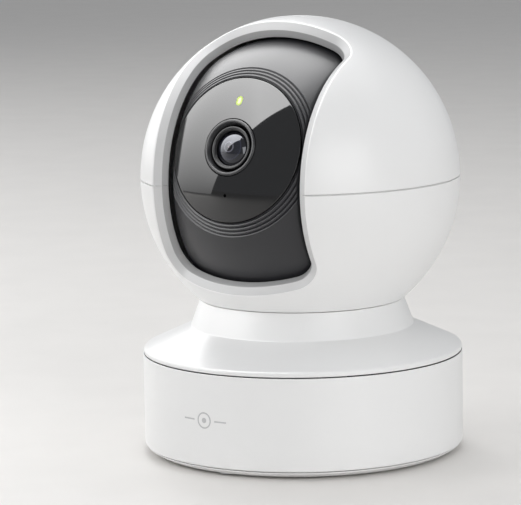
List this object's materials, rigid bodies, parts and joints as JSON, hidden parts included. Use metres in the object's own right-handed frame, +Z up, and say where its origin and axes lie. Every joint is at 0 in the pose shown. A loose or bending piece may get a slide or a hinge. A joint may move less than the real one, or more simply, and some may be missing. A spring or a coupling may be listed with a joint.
{
  "type": "security camera",
  "caption": "Indoor pan-tilt security camera: ball head with a stepped front opening and a tilting lens drum, on a short round weighted base.",
  "frame": {"origin": "centre of the base's underside, on the surface that the feet rest on", "axes": "+Z up, the base's and the head's front faces -Y at rest, +X to the object's left side as it looks out"},
  "size_m": [0.0866, 0.0866, 0.1174],
  "materials": {
    "white_shell": "satin moulded",
    "drum_plastic": "fine satin moulded",
    "window_black": "high gloss",
    "lens_ring": "satin",
    "black_plastic": "matte",
    "rubber": "matte",
    "steel": "plated",
    "brass": "plated",
    "board": "solder mask",
    "nylon": "natural",
    "lens_glass": "coated",
    "status_light": "translucent"
  },
  "bodies": {
    "base": {"base_bottom_cover": "white_shell", "base_housing": "white_shell", "base_shoulder": "white_shell", "foot_pad_1": "rubber", "foot_pad_2": "rubber", "foot_pad_3": "rubber", "foot_pad_4": "rubber", "cover_screw_1": "steel", "cover_screw_2": "steel", "cover_screw_3": "steel", "base_board": "board", "dc_jack": "black_plastic", "dc_jack_pin": "brass", "pan_motor": "steel", "pan_motor_screw_1": "steel", "pan_motor_screw_2": "steel", "slew_washer": "nylon"},
    "pan_pinion": {"pan_pinion": "nylon"},
    "head": {"lower_shell": "white_shell", "upper_shell": "white_shell", "pan_gear": "nylon", "gear_screw_1": "steel", "gear_screw_2": "steel", "tilt_bracket_left": "nylon", "tilt_bracket_right": "nylon", "tilt_motor": "steel", "tilt_motor_cradle": "nylon", "speaker": "black_plastic", "antenna_board": "board"},
    "tilt_pinion": {"tilt_pinion": "nylon"},
    "lens_drum": {"drum_shell": "drum_plastic", "drum_rear_cover": "drum_plastic", "drum_screw_1": "steel", "drum_screw_2": "steel", "lens_window": "window_black", "lens_hood": "lens_ring", "lens_barrel": "black_plastic", "lens_glass": "lens_glass", "status_light_pipe": "status_light", "status_led": "status_light", "microphone": "steel", "infrared_board": "board", "sensor_board": "board", "main_board": "board", "trunnion_left": "steel", "trunnion_right": "steel", "sector_gear": "nylon", "card_reader": "steel", "reset_switch": "black_plastic"},
    "reset_button": {"reset_button": "lens_ring"}
  },
  "joints": [
    {"name": "pan", "type": "hinge", "parent": "base", "child": "head", "pos_m": [0, 0, 0.045], "axis": [0, 0, 1], "range_deg": [-175, 175]},
    {"name": "pan_pinion_spin", "type": "hinge", "parent": "base", "child": "pan_pinion", "pos_m": [0, -0.024, 0.0277], "axis": [0, 0, 1], "range_deg": [-880, 880]},
    {"name": "tilt", "type": "hinge", "parent": "head", "child": "lens_drum", "pos_m": [0, 0, 0.0744], "axis": [-1, 0, 0], "range_deg": [-35, 35]},
    {"name": "tilt_pinion_spin", "type": "hinge", "parent": "head", "child": "tilt_pinion", "pos_m": [0, 0.01902, 0.06822], "axis": [-1, 0, 0], "range_deg": [-145, 145]},
    {"name": "reset_press", "type": "slide", "parent": "lens_drum", "child": "reset_button", "axis": [0, 0.5, 0.866], "range_m": [0, 0.0005], "stiffness_N_per_m": 300, "springref_m": -0.001}
  ],
  "couplings": [
    {"joint": "pan_pinion_spin", "follows": "pan", "ratio": -5},
    {"joint": "tilt_pinion_spin", "follows": "tilt", "ratio": -4}
  ]
}
